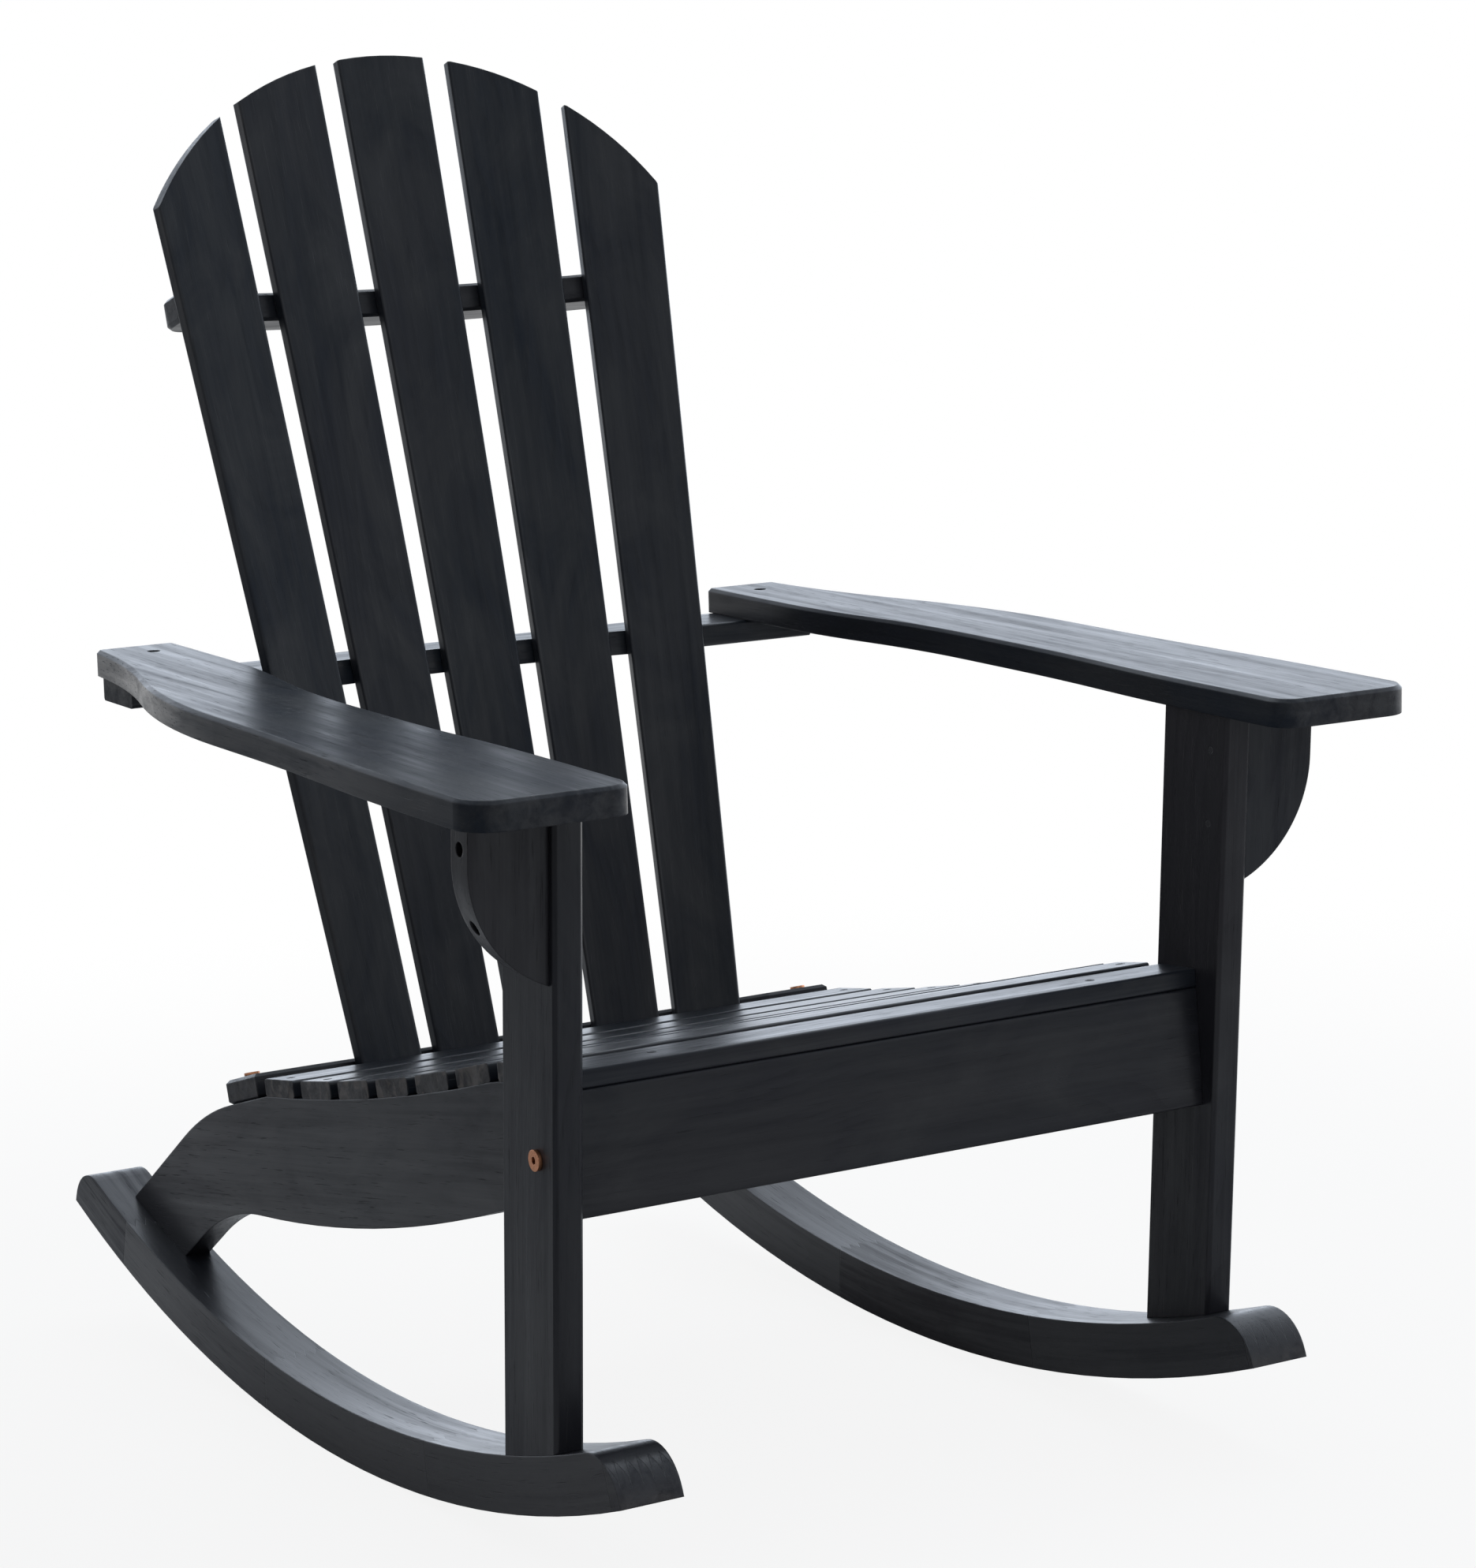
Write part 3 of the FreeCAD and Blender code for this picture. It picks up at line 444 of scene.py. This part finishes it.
def wood_relief(tree, wood, rounded):
    """Raised fibres and rings, sunk pores and glue lines, and saw marks on the ends."""
    sawn = tree.product(wood.end, wood.saw)
    height = tree.total(
        0.0, (wood.streak, 0.45), (wood.fibre, 0.45), (wood.late, 0.16), (wood.pore, -0.6),
        (sawn, 1.2), (wood.glue, -1.5),
    )
    return tree.add("Bump", {
        "Strength": 0.45, "Distance": GRAIN_DEPTH, "Height": height, "Normal": rounded,
    })


def stained_wood(name, seed, board):
    """Stain over the open grain of one board."""
    material, tree, shader = new_material(name)
    finish = board.finish
    wood = wood_patterns(tree, seed, board)
    rounded, worn = worn_edges(tree, wood.grain)
    tree.links.new(wood_color(tree, wood, finish, worn), shader.inputs["Base Color"])
    tree.links.new(wood_roughness(tree, wood), shader.inputs["Roughness"])
    tree.links.new(wood_shine(tree, wood, finish.brushed), shader.inputs["Specular IOR Level"])
    tree.links.new(wood_relief(tree, wood, rounded), shader.inputs["Normal"])
    shader.inputs["IOR"].default_value = WOOD_IOR
    return material


# Bolts and screws.

COPPER = (0.80, 0.37, 0.20)
# The dark colours serve both the dull patches and the painted shade in sockets and round rims.
COPPER_DULL_AND_SHADE = (0.08, 0.035, 0.018)
PAINT = (0.014, 0.014, 0.016)
PAINT_DULL_AND_SHADE = (0.008, 0.008, 0.009)
DULL_SPOTS = 900
DULL_SPAN = (0.45, 0.75)
SOCKET_SHADE_REACH = 0.003
SOCKET_SHADE_SPAN = (0.35, 0.95)
RIM_RADIUS = 0.0007
PLATING_DEPTH = 0.0001


def fastener_finish(name, color, dull_and_shade, roughness, metallic):
    """A finish that dulls in patches, with painted shade in the socket and round the rim."""
    material, tree, shader = new_material(name)
    dull = tree.noise(tree.place(), DULL_SPOTS, detail=3, roughness=0.6)
    # Painted shade: the colour darkens where ambient occlusion finds the socket and the crease round
    # the rim.
    socket_shade = tree.add("AmbientOcclusion", {"Distance": SOCKET_SHADE_REACH}, samples=8, output=1)
    shade = tree.blend(tree.span(socket_shade, *SOCKET_SHADE_SPAN), dull_and_shade, color)
    shade = tree.blend(tree.span(dull, *DULL_SPAN, 0.0, 0.45), shade, dull_and_shade)
    rounded = tree.add("Bevel", {"Radius": RIM_RADIUS}, samples=4)
    relief = tree.add("Bump", {
        "Strength": 0.25, "Distance": PLATING_DEPTH, "Height": dull, "Normal": rounded,
    })
    tree.links.new(shade, shader.inputs["Base Color"])
    tree.links.new(tree.total(roughness, (dull, 0.25)), shader.inputs["Roughness"])
    tree.links.new(relief, shader.inputs["Normal"])
    shader.inputs["Metallic"].default_value = metallic
    return material


# Screws that hold the seat slats: over the side rails, and for the first slat over the
# apron. A head is a low dome with a dimple, given as rings of radius and height.

SCREW_DIMPLE = 0.00005
SCREW_RINGS = ((0.0016, SCREW_DIMPLE), (0.0021, 0.00028), (0.0033, 0.00022), (0.0036, -0.0006))
SCREW_STEPS = 24
RAIL_SCREW_X = 0.2445
APRON_SCREW_X = 0.178


def screw_head(shape, centre, across, off):
    """One head round a centre, which faces off the slat."""
    rings = []
    for radius, rise in SCREW_RINGS:
        ring = []
        for step in range(SCREW_STEPS):
            angle = 2 * math.pi * step / SCREW_STEPS
            outwards = ACROSS * math.cos(angle) + across * math.sin(angle)
            ring.append(shape.verts.new(centre + outwards * radius + off * rise))
        rings.append(ring)
    hub = shape.verts.new(centre + off * SCREW_DIMPLE)
    for step in range(SCREW_STEPS):
        after = (step + 1) % SCREW_STEPS
        shape.faces.new((hub, rings[0][step], rings[0][after]))
        for inner, outer in zip(rings, rings[1:]):
            shape.faces.new((inner[step], outer[step], outer[after], inner[after]))
    shape.faces.new(list(reversed(rings[-1])))


def seat_screws(boards):
    """Two flush screws in the top of every seat slat."""
    shape = bmesh.new()
    for number in range(1, len(SEAT_SLAT_TILTS) + 1):
        name = f"seat_slat_{number}"
        across = boards[name].across
        off = ACROSS.cross(across)
        corners = [nodes[name].matrix_world @ corner.co for corner in nodes[name].data.vertices]
        reach = [corner.dot(across) for corner in corners]
        top = max(corner.dot(off) for corner in corners)
        middle = across * ((min(reach) + max(reach)) / 2) + off * top
        beside = APRON_SCREW_X if number == 1 else RAIL_SCREW_X
        for _, sign in SIDES:
            screw_head(shape, middle + ACROSS * (sign * beside), across, off)
    screws = link("seat_screws", mesh_from(shape, "seat_screws"))
    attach(screws, "root")
    return screws


# The side rails' feet are slimmer than their solids, so a trimmed copy replaces each rail.
# The cut is given in the upright side view, as places back and up.

FOOT_ROUND = 0.2722
FOOT_ROUND_CENTRE = Vector((0.4628, -0.1327))
FOOT_START = Vector((0.5149, 0.1345))
FOOT_LINE_START = Vector((0.6293, 0.0827))
FOOT_LINE_RUN = 0.07
FOOT_ANGLE = math.radians(37.7)
FOOT_ARC_STEPS = 24
BELOW_FOOT = 0.02
CUT_HALF_WIDTH = 0.5
SAME_CORNER = 1e-5
SHARP_ANGLE = math.radians(25)


def under_foot():
    """Outline of what is taken off below and before the foot."""
    first = FOOT_START - FOOT_ROUND_CENTRE
    last = FOOT_LINE_START - FOOT_ROUND_CENTRE
    start = math.atan2(first.y, first.x)
    end = math.atan2(last.y, last.x)
    points = []
    for step in range(FOOT_ARC_STEPS + 1):
        angle = start + (end - start) * step / FOOT_ARC_STEPS
        points.append(FOOT_ROUND_CENTRE + FOOT_ROUND * Vector((math.cos(angle), math.sin(angle))))
    line_end = FOOT_LINE_START + FOOT_LINE_RUN * Vector((math.cos(FOOT_ANGLE), -math.sin(FOOT_ANGLE)))
    points.append(line_end)
    points.append(Vector((line_end.x, BELOW_FOOT)))
    points.append(Vector((FOOT_START.x, BELOW_FOOT)))
    return points


def prism(name, outline, half_width):
    """A block across the chair from an outline in the upright side view."""
    shape = bmesh.new()
    rings = []
    for x in (-half_width, half_width):
        rings.append([shape.verts.new(UPRIGHT_TO_REST @ Vector((x, at.x, at.y))) for at in outline])
    near, far = rings
    shape.faces.new(near)
    shape.faces.new(list(reversed(far)))
    for index in range(len(outline)):
        after = (index + 1) % len(outline)
        shape.faces.new((near[after], near[index], far[index], far[after]))
    bmesh.ops.recalc_face_normals(shape, faces=shape.faces)
    return link(name, mesh_from(shape, name))


def trim_side_rail(side, cutter):
    """A copy of a side rail with the slimmer foot, which replaces the rail."""
    node = nodes[f"side_rail_{side}"]
    name = f"trimmed_rail_{side}"
    shape = bmesh.new()
    shape.from_mesh(node.data)
    bmesh.ops.remove_doubles(shape, verts=shape.verts, dist=SAME_CORNER)
    rail = link(name, mesh_from(shape, name))
    cut = rail.modifiers.new("Foot", "BOOLEAN")
    cut.object = cutter
    cut.operation = "DIFFERENCE"
    cut.solver = "EXACT"
    bpy.context.view_layer.update()
    trimmed = bpy.data.meshes.new_from_object(
        rail.evaluated_get(bpy.context.evaluated_depsgraph_get())
    )
    rail.modifiers.clear()
    rail.data = trimmed
    for face in trimmed.polygons:
        face.use_smooth = True
    trimmed.set_sharp_from_angle(angle=SHARP_ANGLE)
    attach(rail, "root")
    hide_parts(node.name)
    return rail


# Floor, background and light. The room is brightest behind the chair and to its right,
# where the tops of the boards mirror it.

TOWARDS_BEHIND = (0.8, 0.6)
ROOM_SPAN = (-0.1, 0.75)
ROOM_DIM = 0.50
ROOM_BRIGHT = 1.40
ROOM_WHITE_IN_GLOSS = 0.1
LOW_GLOW = 1.6
LOW_GLOW_HEIGHTS = (0.10, 0.34)
LOW_GLOW_SPAN = (0.45, 0.85)
COOL_SPAN = (-0.2, 0.5)
COOL_HEIGHTS = (0.1, 0.6)
NEUTRAL_LIGHT = (1.0, 0.98, 1.0)
COOL_LIGHT = (0.80, 0.88, 1.0)
LAMP_COLOR = (0.86, 0.93, 1.0)
WHITE = (1, 1, 1, 1)

FLOOR_RADIUS = 12
FLOOR_STEPS = 96
# The floor is coloured darker towards the left. This is painted shade, which the left faces of the
# boards mirror.
FLOOR_LEFT_PAINTED_SHADE = (0.20, 0.195, 0.19)
FLOOR_RIGHT = (0.62, 0.60, 0.575)
FLOOR_SPECK = (0.7, 0.7, 0.7)
FLOOR_SIDE_SPAN = (-1.6, 0.2)
FLOOR_WHITE_NEAR = 0.88
FLOOR_WHITE_SPAN = (0.7, 2.2)
MIRRORED_WHITE_SPAN = (0.5, 2.6)


def how_far_behind(tree, x, y):
    """How far a place or a direction lies towards the bright side of the room."""
    right, back = TOWARDS_BEHIND
    return tree.total(0.0, (y, back), (x, right))


def background_rays(tree, glossy):
    """How far a ray shows the white background: fully to the camera, partly to gloss."""
    path = tree.add("LightPath").node
    seen = tree.math("MAXIMUM", path.outputs["Is Camera Ray"], path.outputs["Is Transmission Ray"])
    return tree.math("MAXIMUM", seen, tree.product(path.outputs["Is Glossy Ray"], glossy))


def make_world():
    """A pale studio: the boards mirror its bright and dim sides, the camera sees it white."""
    world = bpy.data.worlds.new("studio")
    bpy.context.scene.world = world
    world.use_nodes = True
    tree = Tree(world.node_tree)
    output = world.node_tree.nodes["World Output"]
    world.node_tree.nodes.remove(world.node_tree.nodes["Background"])
    x, y, up = tree.split(tree.add("TexCoord", output=0))
    behind = how_far_behind(tree, x, y)
    room = tree.span(behind, *ROOM_SPAN, ROOM_DIM, ROOM_BRIGHT)
    glow = tree.span(up, *LOW_GLOW_HEIGHTS, LOW_GLOW, 0.0)
    low = tree.product(glow, tree.span(behind, *LOW_GLOW_SPAN))
    cool = tree.math("MAXIMUM", tree.span(behind, *COOL_SPAN), tree.span(up, *COOL_HEIGHTS))
    tint = tree.blend(cool, NEUTRAL_LIGHT, COOL_LIGHT)
    lit = tree.add("Background", {"Color": tint, "Strength": tree.math("ADD", room, low)})
    white = tree.add("Background", {"Color": WHITE, "Strength": 1.0})
    seen = background_rays(tree, ROOM_WHITE_IN_GLOSS)
    shown = tree.add("MixShader", {0: seen, 1: lit, 2: white})
    tree.links.new(shown, output.inputs["Surface"])


def make_floor():
    """A pale floor that turns white away from the chair and keeps its shadow."""
    shape = bmesh.new()
    bmesh.ops.create_circle(shape, cap_ends=True, segments=FLOOR_STEPS, radius=FLOOR_RADIUS)
    floor = link("floor", mesh_from(shape, "floor"))
    material, tree, shader = new_material("pale_floor")
    place = tree.place()
    x, y, _ = tree.split(place)
    speck = tree.span(tree.noise(place, 3.0, detail=4), 0.3, 0.7, 0.0, 0.05)
    # Painted shade: the floor's colour darkens towards the left.
    side = tree.blend(tree.span(x, *FLOOR_SIDE_SPAN), FLOOR_LEFT_PAINTED_SHADE, FLOOR_RIGHT)
    tree.links.new(tree.blend(speck, side, FLOOR_SPECK), shader.inputs["Base Color"])
    shader.inputs["Roughness"].default_value = 0.9
    shader.inputs["Specular IOR Level"].default_value = 0.0
    white = tree.add("Emission", {"Color": WHITE, "Strength": 1.0})
    away = tree.vector("LENGTH", place, output=1)
    share = tree.span(away, *FLOOR_WHITE_SPAN, FLOOR_WHITE_NEAR, 1.0)
    glossy = tree.span(how_far_behind(tree, x, y), *MIRRORED_WHITE_SPAN)
    shown = tree.product(background_rays(tree, glossy), share)
    mixed = tree.add("MixShader", {0: shown, 1: shader.outputs[0], 2: white})
    tree.links.new(mixed, material.node_tree.nodes["Material Output"].inputs["Surface"])
    dress(floor, material)


def area_lamp(name, place, target, width, height, watts):
    """A soft lamp that faces its target."""
    data = bpy.data.lights.new(name, "AREA")
    data.shape = "RECTANGLE"
    data.size = width
    data.size_y = height
    data.energy = watts
    data.color = LAMP_COLOR
    lamp = link(name, data)
    lamp.location = place
    lamp.rotation_euler = (Vector(target) - Vector(place)).to_track_quat("-Z", "Y").to_euler()


make_camera()
make_world()
make_floor()
area_lamp("overhead", place=(0.5, 1.0, 3.4), target=(0, 0, 0.4), width=3.0, height=2.2, watts=36)
area_lamp("front_fill", place=(-0.9, -3.9, 2.5), target=(0, 0, 0.5), width=2.2, height=2.2, watts=13)

boards = wooden_boards()
for seed, (name, board) in enumerate(boards.items()):
    dress(nodes[name], stained_wood(f"wood_{name}", seed, board))

copper = fastener_finish("copper_plating", COPPER, COPPER_DULL_AND_SHADE, roughness=0.25, metallic=1.0)
painted = fastener_finish("painted_screw", PAINT, PAINT_DULL_AND_SHADE, roughness=0.35, metallic=0.0)
for name in ("leg_bolts", "lower_rail_bolts"):
    dress(nodes[name], copper)
for name in ("bracket_screws", "arm_screws"):
    dress(nodes[name], painted)
dress(seat_screws(boards), painted)

foot_cutter = prism("foot_cutter", under_foot(), CUT_HALF_WIDTH)
for side, _ in SIDES:
    wood = nodes[f"side_rail_{side}"].data.materials[0]
    dress(trim_side_rail(side, foot_cutter), wood)
bpy.data.objects.remove(foot_cutter)

bpy.context.scene.view_settings.view_transform = "Standard"
